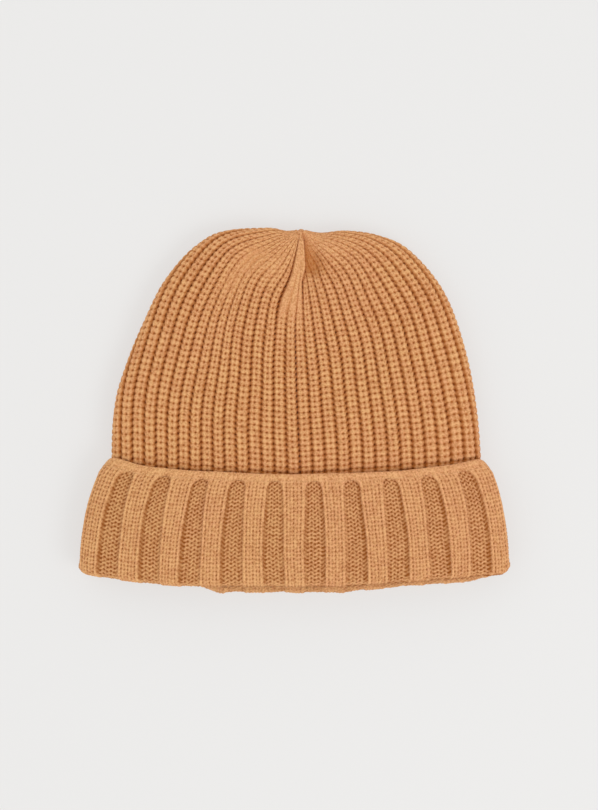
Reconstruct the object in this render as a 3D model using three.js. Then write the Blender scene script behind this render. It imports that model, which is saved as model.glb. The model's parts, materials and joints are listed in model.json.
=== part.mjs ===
// A ribbed knitted beanie with a turned-up cuff, lying flat on its back.
// +X is the wearer's left-to-right width, +Y runs from the cuff to the tip, +Z is up off the surface.
// The origin is the middle of the footprint, on the surface. Millimetres.
import * as THREE from "three";

// ---- Driving dimensions -------------------------------------------------------------------------
const GAP = 0.3;              // clearance between neighbouring solids
const CUFF_KNIT = 3.2;        // thickness of one layer of the wide rib
const CROWN_KNIT = 4.5;       // thickness of one layer of the chunky crown rib
const CUFF_LOFT = 27;         // height of the whole cuff off the surface
const CROWN_LOFT = 22;        // height of the crown where it leaves the cuff
const TIP_LOFT = 14;          // height of the crown at its tip
const FOLD_HALF_WIDTH = 120;  // half width of the cuff at its bottom fold
const CUFF_TOP_LEFT = -104.8; // ends of the cuff's free edge
const CUFF_TOP_RIGHT = 108.4;
const CUFF_TOP_Y = -29.3;     // the free edge at the sides, and how far it sags in the middle
const CUFF_TOP_SAG = 6.4;
const FOLD_Y = -90.5;         // the fold at the sides, and how far it sags in the middle
const FOLD_SAG = 7.5;
const BACK_DROP = 3.5;        // the back layer's fold hangs this much lower than the front's
const CORNER = 9;             // radius of the cuff's lower corners
const EDGE_BAND = 4;          // height of the plain starting edge
const JOIN_BELOW_EDGE = 7;    // the crown meets the inner band this far below the free edge
const FLARE_POWER = 2.3;      // how quickly the cuff's sides run out to their full width
const TIP = [4, 101];         // where every rib ends
const LAST_RING = 0.95;       // the gores stop here, the rest is the gathered tip
const SEAM_RADIUS = 1;        // linking yarn ridge
const LABEL = { length: 34, width: 20, ply: 0.4 };

// Sides of the crown, from the join under the cuff to the tip. The last points follow the top edge.
const LEFT_SIDE = [
  [-101.3, -36], [-98.6, 8], [-84, 49], [-67, 77], [-43, 97], [-17, 101.5], [-4, 99.8], TIP,
];
const RIGHT_SIDE = [
  [104, -36], [102, -3], [95, 37], [83.5, 67], [64, 89], [43, 97.5], [29, 100], [15, 98.7], TIP,
];

// How round a section is: 2 is an ellipse, more is flatter with tighter side folds.
const CROWN_ROUNDNESS = 2.8;
const CUFF_ROUNDNESS = 3.6;
const FLAT_SHARE = 1.03;      // lifts the section until its top and bottom are truly flat in the middle

// Steps of the surfaces
const CROWN_STEPS = { across: 11, along: 15 };
const CUFF_STEPS = { across: 22, along: 4, fold: 5 };

const MATERIALS = {
  crown: new THREE.MeshStandardMaterial({ color: 0xcf955f, roughness: 0.92, metalness: 0 }),
  cuff: new THREE.MeshStandardMaterial({ color: 0xd29a66, roughness: 0.92, metalness: 0 }),
  seam: new THREE.MeshStandardMaterial({ color: 0xc48a57, roughness: 0.9, metalness: 0 }),
  label: new THREE.MeshStandardMaterial({ color: 0xf1eee6, roughness: 0.55, metalness: 0 }),
  thread: new THREE.MeshStandardMaterial({ color: 0xe7dfcf, roughness: 0.7, metalness: 0 }),
};

const hat = new THREE.Group();
hat.name = "beanie";

// ---- Helpers ------------------------------------------------------------------------------------
const lerp = THREE.MathUtils.lerp;
const smooth = (x, from, to) => THREE.MathUtils.smoothstep(x, from, to);

// Keeps the winding outward, whichever way round a surface was described.
function makeOutward(geometry) {
  const p = geometry.getAttribute("position");
  const index = geometry.getIndex();
  const [a, b, c] = [new THREE.Vector3(), new THREE.Vector3(), new THREE.Vector3()];
  let volume = 0;
  for (let i = 0; i < index.count; i += 3) {
    a.fromBufferAttribute(p, index.getX(i));
    b.fromBufferAttribute(p, index.getX(i + 1));
    c.fromBufferAttribute(p, index.getX(i + 2));
    volume += a.dot(b.cross(c));
  }
  if (volume < 0) {
    for (let i = 0; i < index.count; i += 3) {
      const keep = index.getX(i + 1);
      index.setX(i + 1, index.getX(i + 2));
      index.setX(i + 2, keep);
    }
  }
  geometry.computeVertexNormals();
  return geometry;
}

// A closed layer of fabric between two faces, each given as a grid of points [along][across].
function layerBetween(outer, inner) {
  const rows = outer.length;
  const cols = outer[0].length;
  const positions = [...outer.flat(), ...inner.flat()].flatMap((p) => [p.x, p.y, p.z]);
  const o = (r, c) => r * cols + c;
  const i = (r, c) => rows * cols + r * cols + c;
  const index = [];
  const quad = (p, q, r, s) => index.push(p, q, r, p, r, s);
  for (let r = 0; r + 1 < rows; r++) {
    for (let c = 0; c + 1 < cols; c++) {
      quad(o(r, c), o(r, c + 1), o(r + 1, c + 1), o(r + 1, c));
      quad(i(r, c), i(r + 1, c), i(r + 1, c + 1), i(r, c + 1));
    }
    quad(o(r, 0), o(r + 1, 0), i(r + 1, 0), i(r, 0));
    quad(o(r, cols - 1), i(r, cols - 1), i(r + 1, cols - 1), o(r + 1, cols - 1));
  }
  for (let c = 0; c + 1 < cols; c++) {
    quad(o(0, c), i(0, c), i(0, c + 1), o(0, c + 1));
    quad(o(rows - 1, c), o(rows - 1, c + 1), i(rows - 1, c + 1), i(rows - 1, c));
  }
  const geometry = new THREE.BufferGeometry();
  geometry.setAttribute("position", new THREE.Float32BufferAttribute(positions, 3));
  geometry.setIndex(index);
  return makeOutward(geometry);
}

function addPiece(name, geometry, material) {
  const mesh = new THREE.Mesh(geometry, material);
  mesh.name = name;
  hat.add(mesh);
  return mesh;
}

// A round yarn ridge through a list of points.
function yarnAlong(points, radius) {
  const section = new THREE.Shape();
  section.absarc(0, 0, radius, 0, Math.PI * 2);
  return new THREE.ExtrudeGeometry(section, {
    extrudePath: new THREE.CatmullRomCurve3(points),
    steps: points.length * 2,
    curveSegments: 4,
    bevelEnabled: false,
  });
}

// ---- Crown --------------------------------------------------------------------------------------
const sideCurve = (points) => new THREE.SplineCurve(points.map(([x, y]) => new THREE.Vector2(x, y)));
const SIDES = { left: sideCurve(LEFT_SIDE), right: sideCurve(RIGHT_SIDE) };
const BASE_MIDDLE = new THREE.Vector2(
  (LEFT_SIDE[0][0] + RIGHT_SIDE[0][0]) / 2,
  CUFF_TOP_Y - CUFF_TOP_SAG - JOIN_BELOW_EDGE,
);
const TIP_POINT = new THREE.Vector2(...TIP);

// Heights of the crown's outer faces on its centre line: its back comes down off the cuff to the surface,
// and its front swells a little where it leaves the cuff.
const SWELL = 1.5;
const crownTop = (along) => (
  lerp(CROWN_LOFT + SWELL, TIP_LOFT, along ** 2.2) - SWELL * (1 - smooth(along, 0, 0.25))
);
const crownBottom = (along) => (CUFF_KNIT + GAP) * (1 - smooth(along, 0, 0.28)) + 0.05;

// A point of the crown. across runs from the centre line (0) to the side fold (1), depth is 0 outside.
function crownPoint(side, face, across, along, depth) {
  const middle = new THREE.Vector2().lerpVectors(BASE_MIDDLE, TIP_POINT, along);
  const rim = SIDES[side].getPoint(along);
  const halfWidth = middle.distanceTo(rim);
  const angle = across * Math.PI / 2;
  const reach = Math.sin(angle) ** (2 / CROWN_ROUNDNESS) * Math.max(1 - depth / halfWidth, 0.4);
  const rise = Math.min(1, FLAT_SHARE * Math.cos(angle) ** (2 / CROWN_ROUNDNESS));
  const top = crownTop(along);
  const bottom = crownBottom(along);
  const half = Math.max((top - bottom) / 2 - depth, 1.2);
  const spot = middle.lerp(rim, reach);
  const apart = GAP / 2;        // half the clearance at the side fold
  const z = (top + bottom) / 2 + face * Math.max(half * rise, apart);
  const x = spot.x + (side === "left" ? -apart : apart) * (1 - reach);
  return new THREE.Vector3(x, spot.y, z);
}

function crownFace(side, face, depth) {
  const rows = [];
  for (let r = 0; r <= CROWN_STEPS.along; r++) {
    const along = LAST_RING * r / CROWN_STEPS.along;
    const row = [];
    for (let c = 0; c <= CROWN_STEPS.across; c++) {
      row.push(crownPoint(side, face, c / CROWN_STEPS.across, along, depth));
    }
    rows.push(row);
  }
  return rows;
}

function buildCrown() {
  for (const [faceName, face] of [["front", 1], ["back", -1]]) {
    for (const side of ["left", "right"]) {
      const geometry = layerBetween(crownFace(side, face, 0), crownFace(side, face, CROWN_KNIT));
      addPiece(`crown_${faceName}_${side}`, geometry, MATERIALS.crown);
    }
  }
}

// The drawn-up last loops, a small pad in the notch that the gores leave at the tip.
function buildTipGather() {
  const pad = new THREE.SphereGeometry(1, 12, 8);
  pad.scale(1.1, 2.1, 3.2);
  const height = (crownTop(1) + crownBottom(1)) / 2;
  pad.translate(TIP[0], TIP[1] - 2.2, height);
  addPiece("tip_gather", pad, MATERIALS.seam);
}

// ---- Cuff ---------------------------------------------------------------------------------------
// down runs from the free edge (0) to the fold (1), depth is 0 on the outside of the turned-up layer.
function cuffPoint(face, across, down, depth) {
  const side = Math.sign(across) || 1;
  const angle = Math.abs(across) * Math.PI / 2;
  const flare = 1 - Math.max(1 - down, 0) ** FLARE_POWER;
  const topEnd = side < 0 ? -CUFF_TOP_LEFT : CUFF_TOP_RIGHT;
  const halfWidth = lerp(topEnd, FOLD_HALF_WIDTH, flare) - depth;
  const reach = Math.sin(angle) ** (2 / CUFF_ROUNDNESS);
  const rise = Math.min(1, FLAT_SHARE * Math.cos(angle) ** (2 / CUFF_ROUNDNESS));
  const sag = 1 - reach * reach;
  const drop = face < 0 ? BACK_DROP * sag : 0;
  const top = CUFF_TOP_Y - CUFF_TOP_SAG * sag;
  const corner = CORNER * smooth(reach, 1 - 2 * CORNER / FOLD_HALF_WIDTH, 1) ** 2;
  const foot = FOLD_Y - FOLD_SAG * sag - drop + corner;
  const z = CUFF_LOFT / 2 + face * Math.max((CUFF_LOFT / 2 - depth) * rise, GAP / 2);
  return new THREE.Vector3(side * halfWidth * reach, lerp(top, foot, down), z);
}

const CUFF_HEIGHT = CUFF_TOP_Y - FOLD_Y;      // at the sides, for turning lengths into shares of it
const FOLD_RADIUS = CUFF_KNIT + GAP / 2;      // outside radius of the rolled fold
const FOLD_START = 1 - FOLD_RADIUS / CUFF_HEIGHT;

// One face of a cuff layer through a list of [down, depth] stations.
function cuffFace(face, stations) {
  return stations.map(([down, depth]) => {
    const row = [];
    for (let c = 0; c <= CUFF_STEPS.across; c++) {
      row.push(cuffPoint(face, 2 * c / CUFF_STEPS.across - 1, down, depth));
    }
    return row;
  });
}

function stationsDown(from, to, depth) {
  const list = [];
  for (let s = 0; s <= CUFF_STEPS.along; s++) list.push([lerp(from, to, s / CUFF_STEPS.along), depth]);
  return list;
}

// The rolled fold at the foot of the turned-up layer, at a radius from the middle of the roll.
function stationsRound(radius) {
  const list = [];
  for (let s = 1; s <= CUFF_STEPS.fold; s++) {
    const turn = Math.PI * s / CUFF_STEPS.fold;
    list.push([FOLD_START + radius * Math.sin(turn) / CUFF_HEIGHT, FOLD_RADIUS - radius * Math.cos(turn)]);
  }
  return list;
}

function buildCuff() {
  const band = EDGE_BAND / CUFF_HEIGHT;
  const gap = GAP / CUFF_HEIGHT;
  const innerDepth = CUFF_KNIT + GAP;
  const join = (JOIN_BELOW_EDGE + GAP + 1) / CUFF_HEIGHT;
  for (const [faceName, face] of [["front", 1], ["back", -1]]) {
    const layer = (outer, inner) => layerBetween(cuffFace(face, outer), cuffFace(face, inner));
    addPiece(`start_edge_${faceName}`, layer(
      [[0, 1], [0.012, 0.2], [band, 0]],
      [[0, CUFF_KNIT - 1], [0.012, CUFF_KNIT - 0.2], [band, CUFF_KNIT]],
    ), MATERIALS.cuff);
    addPiece(`turn_up_${faceName}`, layer(
      [...stationsDown(band + gap, FOLD_START, 0), ...stationsRound(FOLD_RADIUS)],
      [...stationsDown(band + gap, FOLD_START, CUFF_KNIT), ...stationsRound(GAP / 2)],
    ), MATERIALS.cuff);
    addPiece(`inner_band_${faceName}`, layer(
      stationsDown(join, FOLD_START - gap, innerDepth),
      stationsDown(join, FOLD_START - gap, innerDepth + CUFF_KNIT),
    ), MATERIALS.cuff);
  }
}

// ---- Seams on the inside ------------------------------------------------------------------------
// A ridge that follows the inside of the crown a little clear of it, between two places along a rib.
function crownSeam(side, face, across, from, to) {
  const points = [];
  for (let s = 0; s <= 8; s++) {
    const p = crownPoint(side, face, across, lerp(from, to, s / 8), CROWN_KNIT);
    p.z -= face * (SEAM_RADIUS + GAP + 0.2);
    points.push(p);
  }
  return points;
}

function buildSeams() {
  addPiece("front_dart_seam", yarnAlong(crownSeam("left", 1, 0, 0.45, 0.82), SEAM_RADIUS), MATERIALS.seam);
  addPiece("left_dart_seam", yarnAlong(crownSeam("left", 1, 0.42, 0.72, 0.86), SEAM_RADIUS), MATERIALS.seam);
  addPiece("right_dart_seam", yarnAlong(crownSeam("right", 1, 0.3, 0.74, 0.86), SEAM_RADIUS), MATERIALS.seam);
  const cuffPart = [];
  for (let s = 0; s <= 3; s++) {
    const p = cuffPoint(-1, 0, lerp(0.92, 0.3, s / 3), 2 * CUFF_KNIT + GAP);
    p.x = BASE_MIDDLE.x;
    p.z += SEAM_RADIUS + GAP + 0.2;
    cuffPart.push(p);
  }
  const crownPart = crownSeam("left", -1, 0, 0.06, 0.82);
  addPiece("back_seam", yarnAlong([...cuffPart, ...crownPart], SEAM_RADIUS), MATERIALS.seam);
}

// ---- Care label ---------------------------------------------------------------------------------
// A folded strip: two plies joined by a round fold at the free end, sewn down beside the back seam.
function buildLabel() {
  const { length, width, ply } = LABEL;
  const pitch = 2 * ply;               // from one ply's middle to the other's
  const round = pitch / 2 + ply / 2;
  const strip = new THREE.Shape();
  strip.moveTo(0, 0);
  strip.lineTo(-length, 0);
  strip.absarc(-length, round, round, -Math.PI / 2, Math.PI / 2, true);
  strip.lineTo(0, 2 * round);
  strip.lineTo(0, 2 * round - ply);
  strip.lineTo(-length, 2 * round - ply);
  strip.absarc(-length, round, round - ply, Math.PI / 2, -Math.PI / 2, false);
  strip.lineTo(0, ply);
  strip.closePath();
  const body = new THREE.ExtrudeGeometry(strip, { depth: width, bevelEnabled: false, curveSegments: 6 });
  const floor = 2 * CUFF_KNIT + GAP;
  const sewnEnd = BASE_MIDDLE.x - SEAM_RADIUS - 1;
  const lowerEdge = (CUFF_TOP_Y + FOLD_Y) / 2 - width / 2 + 2;
  const label = addPiece("care_label", body, MATERIALS.label);
  label.rotation.x = Math.PI / 2;
  label.position.set(sewnEnd, lowerEdge + width, floor + GAP + 0.2);

  const stitchHeight = floor + GAP + 0.2 + 2 * round + 0.25 + GAP;
  const ends = [lowerEdge + 1.5, lowerEdge + width / 2, lowerEdge + width - 1.5];
  const run = ends.map((y) => new THREE.Vector3(sewnEnd - 2.5, y, stitchHeight));
  addPiece("label_stitch", yarnAlong(run, 0.25), MATERIALS.thread);
}

buildCrown();
buildTipGather();
buildCuff();
buildSeams();
buildLabel();

// Stand the whole hat on its origin.
const box = new THREE.Box3().setFromObject(hat, true);
hat.position.set(-(box.min.x + box.max.x) / 2, -(box.min.y + box.max.y) / 2, -box.min.z);

export default hat;
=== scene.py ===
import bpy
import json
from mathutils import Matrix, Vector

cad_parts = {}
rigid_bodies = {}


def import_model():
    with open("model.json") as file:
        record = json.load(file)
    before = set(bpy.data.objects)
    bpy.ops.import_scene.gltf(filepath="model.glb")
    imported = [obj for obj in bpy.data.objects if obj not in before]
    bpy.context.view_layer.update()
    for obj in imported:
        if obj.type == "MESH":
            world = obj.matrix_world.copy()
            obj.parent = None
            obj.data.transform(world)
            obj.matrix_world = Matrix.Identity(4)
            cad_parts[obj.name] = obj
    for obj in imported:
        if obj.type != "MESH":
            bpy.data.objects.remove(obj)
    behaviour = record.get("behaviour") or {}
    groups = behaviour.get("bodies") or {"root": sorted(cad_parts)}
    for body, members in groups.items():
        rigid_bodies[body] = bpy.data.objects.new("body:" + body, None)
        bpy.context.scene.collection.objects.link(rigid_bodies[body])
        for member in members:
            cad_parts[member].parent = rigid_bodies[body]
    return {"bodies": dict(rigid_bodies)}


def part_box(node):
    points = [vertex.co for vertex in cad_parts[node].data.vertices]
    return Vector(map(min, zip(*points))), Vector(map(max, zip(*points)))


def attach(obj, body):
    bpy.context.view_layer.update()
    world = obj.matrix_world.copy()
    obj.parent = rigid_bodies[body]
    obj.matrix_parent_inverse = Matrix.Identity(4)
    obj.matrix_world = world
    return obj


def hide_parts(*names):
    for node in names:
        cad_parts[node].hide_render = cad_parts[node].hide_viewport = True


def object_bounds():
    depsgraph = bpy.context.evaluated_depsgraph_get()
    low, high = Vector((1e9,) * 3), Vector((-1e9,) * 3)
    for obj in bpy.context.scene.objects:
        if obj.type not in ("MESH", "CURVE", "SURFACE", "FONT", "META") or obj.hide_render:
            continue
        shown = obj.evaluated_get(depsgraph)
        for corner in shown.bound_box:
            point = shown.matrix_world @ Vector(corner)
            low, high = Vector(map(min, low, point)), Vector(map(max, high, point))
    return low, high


bl_info = {
    "name": "Ribbed knitted beanie",
    "version": (1, 0, 0),
    "blender": (4, 5, 0),
    "location": "3D View > Sidebar > Beanie",
    "description": "Knits a ribbed beanie with a turned-up cuff around its packed frame, stitch by stitch",
    "category": "Add Mesh",
}

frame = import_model()
CAD_BOX = [list(corner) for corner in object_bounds()]

import json
import math

import bpy
import numpy as np
from bpy.props import FloatProperty, FloatVectorProperty, IntProperty, PointerProperty
from mathutils import Vector

MM = 0.001
BODY = next(iter(frame["bodies"]))


# ---- Measures of the hat, in millimetres, from the frame ----
def reach_of(node):
    """Lowest and highest corner of a frame node, in millimetres."""
    low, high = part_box(node)
    return np.array(low) / MM, np.array(high) / MM


EDGE_LOW, EDGE_HIGH = reach_of("start_edge_front")
TURN_LOW, TURN_HIGH = reach_of("turn_up_front")
BACK_LOW, _ = reach_of("turn_up_back")
_, BAND_HIGH = reach_of("inner_band_front")
TIP_LOW, TIP_HIGH = reach_of("tip_gather")
LABEL_LOW, LABEL_HIGH = reach_of("care_label")
THREAD_LOW, THREAD_HIGH = reach_of("label_stitch")

GAP = 0.3                                   # clearance between two layers
CUFF_KNIT = 3.2                             # thickness of one layer of the cuff
CROWN_KNIT = 4.5                            # thickness of one layer of the crown
LOFT = TURN_HIGH[2]                         # height of the cuff off the surface
FOLD_HALF_WIDTH = TURN_HIGH[0]
EDGE_LEFT, EDGE_RIGHT = -105.6, 108.5       # the cuff's free edge at its side folds
EDGE_Y = EDGE_HIGH[1]
EDGE_SAG = 6.4                              # how far it sags in the middle
EDGE_BAND = EDGE_HIGH[1] - EDGE_LOW[1] - EDGE_SAG       # width of its plain band
EDGE_ROUNDING = 2.6                         # how far its corners draw in
BACK_DROP = TURN_LOW[1] - BACK_LOW[1]       # the back layer's fold hangs lower than the front's
FOLD_Y = TURN_LOW[1] + 7.4                  # the fold at the sides
FLARE_POWER = 2.3                           # how soon the cuff widens below its free edge
FOLD_RADIUS = CUFF_KNIT + GAP / 2           # outside of the rolled fold
TIP = np.array([(TIP_LOW[0] + TIP_HIGH[0]) / 2, TIP_HIGH[1] + 0.1])
TIP_HEIGHT = (TIP_LOW[2] + TIP_HIGH[2]) / 2
BASE_Y = BAND_HIGH[1] - 1.4                 # where the crown starts, hidden under the cuff
BASE_SAG = 6.7
BASE_HALF_WIDTH = 104
JOIN_DEPTH = EDGE_Y - BAND_HIGH[1]          # from the free edge down to the join with the crown
LEAN_IN, LEAN_OVER = 3.4, 9.0               # how far the cuff's inner end leans in, over its last stretch
SEAM_RADIUS = 1.0
SEAM_CLEAR = SEAM_RADIUS + GAP + 0.2        # from the knitting to the middle of a seam
CROWN_ROUND, CROWN_SLIM = 2.8, 0.105        # section of the crown: how square its sides are, how flat it is
CUFF_ROUND, CUFF_SLIM = 3.2, 0.12


# ---- Shape of the crown seen from above ----
# The points that each side passes through, from the cuff up to the tip.
LEFT_SIDE = [
    (-102.3, BASE_Y), (-99.2, 8), (-84, 49), (-68.4, 77.2), (-46, 97.2), (-17, 101.5), (-4, 99.8), tuple(TIP),
]
RIGHT_SIDE = [
    (104.6, BASE_Y), (102.6, -3), (95, 37), (83.5, 67), (64.5, 89), (47, 97.2), (29, 99.8), (15, 98.7),
    tuple(TIP),
]
BASE_MIDDLE = np.array([(LEFT_SIDE[0][0] + RIGHT_SIDE[0][0]) / 2, BASE_Y - BASE_SAG])
CROWN_LOFT = 22        # height of the crown's front over the surface at the cuff, and at the tip
TIP_LOFT = 14
SWELL = 1.5            # how far the front swells over the cuff
CROWN_END = 0.985      # the gores stop this far along, and the gathered tip closes the rest

# Valleys between ribs are counted from the middle of the front, to the right, with the back's middle at
# half of them. Their places are 0 at the middle of the front, 1 at the side fold and 2 behind.
# The decreases draw some ribs in more than others, so the left ones wander out and round to the back.
RIBS = 64              # crown ribs once round the hat
QUARTER = RIBS // 4    # ribs from the middle of the front to a side fold
RIB_WIDTH = 6.4        # width of a rib that isn't drawn in
PLAN_VALLEYS = (-32, -16, -12, -10, -6, -5, -2, 0, 2, 5, 8, 10, 12, 14, 16, 32)
RIB_PLAN = {
    0.08: (-2, -0.985, -0.73, -0.615, -0.372, -0.311, -0.113, 0.02,
           0.15, 0.346, 0.545, 0.673, 0.81, 0.955, 1.08, 2),
    0.30: (-2, -1.06, -0.80, -0.67, -0.434, -0.369, -0.152, 0.0,
           0.138, 0.346, 0.535, 0.667, 0.79, 0.925, 1.05, 2),
    0.50: (-2, -1.12, -0.835, -0.70, -0.515, -0.448, -0.208, -0.02,
           0.145, 0.383, 0.575, 0.70, 0.83, 0.95, 1.07, 2),
    0.65: (-2, -1.17, -0.90, -0.79, -0.598, -0.53, -0.285, -0.056,
           0.15, 0.43, 0.655, 0.77, 0.875, 0.975, 1.08, 2),
    0.85: (-2, -1.22, -0.945, -0.86, -0.712, -0.655, -0.30, -0.05,
           0.18, 0.467, 0.70, 0.81, 0.91, 1.0, 1.1, 2),
    1.00: (-2, -1.24, -0.96, -0.88, -0.76, -0.71, -0.42, -0.05,
           0.38, 0.60, 0.78, 0.86, 0.94, 1.02, 1.12, 2),
}


def measure(name, description, default):
    return FloatProperty(name=name, description=description, default=default, unit="LENGTH")


def paint(name, description, default):
    return FloatVectorProperty(name=name, description=description, default=default, subtype="COLOR")


class BeanieSizes(bpy.types.PropertyGroup):
    """Sizes of the knitting that a maker would change."""

    courses: IntProperty(
        name="Courses", description="Rows of stitches up the crown's middle", default=48, min=8)
    valley: measure("Valley", "Depth of the groove between two ribs", 0.0016)
    eyelet: measure("Eyelet", "Depth of the pin holes down a crown rib", 0.0013)
    repeats: IntProperty(
        name="Cuff ribs", description="Wide ribs on each face of the cuff", default=11, min=3)
    cuff_course: measure("Cuff course", "Height of one row of cuff stitches", 0.00213)
    cuff_yarn: measure("Cuff yarn", "Radius of a cuff stitch's leg", 0.0007)
    panel: measure("Panel depth", "How far the purl panels sit back", 0.0014)


class BeanieColours(bpy.types.PropertyGroup):
    """Colours that a maker would change."""

    yarn: paint("Yarn", "Camel yarn on the crest of a stitch", (0.815, 0.448, 0.195))
    warm: paint("Warm yarn", "The yarn where it runs pinker", (0.82, 0.405, 0.20))
    # painted shade: darker, redder colours mixed into the yarn where it lies deep in the stitches' hollows
    crown_hollow_shade: paint("Crown hollow", "The yarn deep between the crown's stitches", (0.465, 0.148, 0.024))
    cuff_hollow_shade: paint("Cuff hollow", "The yarn deep between the cuff's stitches", (0.315, 0.090, 0.010))
    label: paint("Label", "Off-white satin", (0.86, 0.84, 0.79))
    floor: paint("Floor", "Pale surface under the hat", (0.25, 0.246, 0.242))


# ---- Small numeric helpers ----
def smoothstep(x, low, high):
    t = np.clip((x - low) / (high - low), 0, 1)
    return t * t * (3 - 2 * t)


def spline(points, t):
    """A smooth curve through a few points, t from 0 at the first to 1 at the last."""
    p = np.asarray(points, float)
    last = len(p) - 1
    s = np.clip(t, 0, 1) * last
    i = np.minimum(s.astype(int), last - 1)
    w = (s - i)[..., None]
    before, here, after = p[np.maximum(i - 1, 0)], p[i], p[i + 1]
    beyond = p[np.minimum(i + 2, last)]
    leave, arrive = (after - before) / 2, (beyond - here) / 2
    bend = 2 * here - 2 * after + leave + arrive
    return ((bend * w + 3 * (after - here) - 2 * leave - arrive) * w + leave) * w + here


def between_cells(table, i, j, u, v):
    """A table's values at shares u and v past row i and column j; the table repeats beyond its ends."""
    rows, cols = table.shape
    near = table[i % rows, j % cols] * (1 - u) + table[(i + 1) % rows, j % cols] * u
    far = table[i % rows, (j + 1) % cols] * (1 - u) + table[(i + 1) % rows, (j + 1) % cols] * u
    return near * (1 - v) + far * v


def wander(x, y, seed, loop=64):
    """Smooth noise from -1 to 1 that changes over about a unit of x or y and repeats after loop of x."""
    cells = np.random.default_rng(seed).uniform(-1, 1, (loop, 64))
    i, j = np.floor(x).astype(int), np.floor(y).astype(int)
    u, v = x - i, y - j
    return between_cells(cells, i, j, u * u * (3 - 2 * u), v * v * (3 - 2 * v))


def stitch_tone(column, row, seed):
    """A steady random value from 0 to 1 for each stitch."""
    table = np.random.default_rng(seed).random((521, 257))
    return table[column.astype(int) % 521, row.astype(int) % 257]


def unit(vectors):
    return vectors / np.maximum(np.linalg.norm(vectors, axis=-1, keepdims=True), 1e-9)


def travelled(line):
    """How far along a line each of its points is, or along each line of a grid."""
    steps = np.linalg.norm(np.diff(line, axis=0), axis=-1)
    return np.concatenate([np.zeros_like(steps[:1]), np.cumsum(steps, axis=0)])


def flattened(angle, roundness):
    """Reach and rise of a flattened tube, from its middle (angle 0) to its side fold (a quarter turn)."""
    return np.sin(angle) ** (2 / roundness), np.minimum(1, 1.03 * np.cos(angle) ** (2 / roundness))


def section(t, roundness, slimness):
    """Reach and rise of a flattened tube, t running evenly from its middle (0) to its side fold (1)."""
    angle = np.linspace(0, np.pi / 2, 600)
    reach, rise = flattened(angle, roundness)
    rise[-1] = 0
    length = np.concatenate([[0], np.cumsum(np.hypot(np.diff(reach), np.diff(rise) * slimness))])
    length /= length[-1]
    return np.interp(t, length, reach), np.interp(t, length, rise)


# ---- Surfaces ----
def ring_places(front_steps, back_steps):
    """Places round the hat from the middle of the back, by the left fold, the front and the right fold."""
    back = np.linspace(-2, -1, back_steps // 2 + 1)
    front = np.linspace(-1, 1, front_steps + 1)
    return np.concatenate([back[:-1], front, -back[-2::-1]])


def normals_of(grid):
    """Unit normals of a grid [rows][cols][3] whose columns go once round the hat."""
    ring = np.concatenate([grid[:, -2:-1], grid, grid[:, 1:2]], axis=1)
    return unit(np.cross(ring[:, 2:] - ring[:, :-2], np.gradient(grid, axis=0)))


def raised(base, normal, height):
    """A surface lifted by its stitches, and kept above the floor."""
    outer = base + normal * height[..., None]
    outer[..., 2] = np.maximum(outer[..., 2], 0)
    return outer


def crown_heights(along):
    """Heights of the crown's outer faces over its centre line."""
    top = CROWN_LOFT + SWELL + (TIP_LOFT - CROWN_LOFT - SWELL) * along ** 2.2
    top = top - SWELL * (1 - smoothstep(along, 0, 0.25))
    bottom = (CUFF_KNIT + GAP) * (1 - smoothstep(along, 0, 0.28)) + 0.05
    return top, bottom


def smoothed(rows, width):
    """Each row averaged over a window; it loses half a window at each end."""
    kernel = np.hanning(width)
    kernel /= kernel.sum()
    return np.array([np.convolve(row, kernel, "valid") for row in rows])


def rib_places(valleys, along):
    """Place round the crown of each valley, at each station along it, smoothed between the plan's."""
    fine_valleys = np.linspace(-RIBS / 2, RIBS / 2, 8 * RIBS + 1)
    fine_along = np.linspace(0, 1, 201)
    stations = np.array(sorted(RIB_PLAN))
    rough = np.array([np.interp(fine_valleys, PLAN_VALLEYS, RIB_PLAN[key]) for key in stations])
    drift = rough - fine_valleys / QUARTER
    drift = smoothed(np.concatenate([drift[:, -14:-1], drift, drift[:, 1:14]], axis=1), 27)
    drift = np.array([np.interp(fine_along, stations, column) for column in drift.T])
    drift = smoothed(np.pad(drift, ((0, 0), (20, 20)), "edge"), 41)
    i = np.clip((valleys + RIBS / 2) * 8, 0, 8 * RIBS)
    j = np.clip(along, 0, 1) * 200
    i0, j0 = np.minimum(i.astype(int), 8 * RIBS - 1), np.minimum(j.astype(int), 199)
    return valleys / QUARTER + between_cells(drift, i0, j0, i - i0, j - j0)


def crown_surface(reach, rise, side, face, along, depth=0.0):
    """A point of the crown's face: reach runs from its middle to the side fold, depth from the outside in."""
    middle = BASE_MIDDLE + (TIP - BASE_MIDDLE) * along[..., None]
    rim = np.where((side < 0)[..., None], spline(LEFT_SIDE, along), spline(RIGHT_SIDE, along))
    half_width = np.linalg.norm(rim - middle, axis=-1)
    share = reach * np.maximum(1 - depth / np.maximum(half_width, 1e-6), 0.4)
    plan = middle + (rim - middle) * share[..., None]
    top, bottom = crown_heights(along)
    half = np.maximum((top - bottom) / 2 - depth, 1.2)
    z = (top + bottom) / 2 + face * half * rise
    dents = crown_dents(plan[..., 0], plan[..., 1]) * rise * smoothstep(along, 0.3, 0.5)
    return np.concatenate([plan, (z + np.where(face > 0, dents, 0))[..., None]], axis=-1)


def bump(x, y, place, wide, tall, lean=0.0):
    """A round swelling of height 1, leaning by an angle."""
    dx, dy = x - place[0], y - place[1]
    c, s = math.cos(lean), math.sin(lean)
    return np.exp(-((dx * c + dy * s) / wide) ** 2 - ((dy * c - dx * s) / tall) ** 2)


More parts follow.
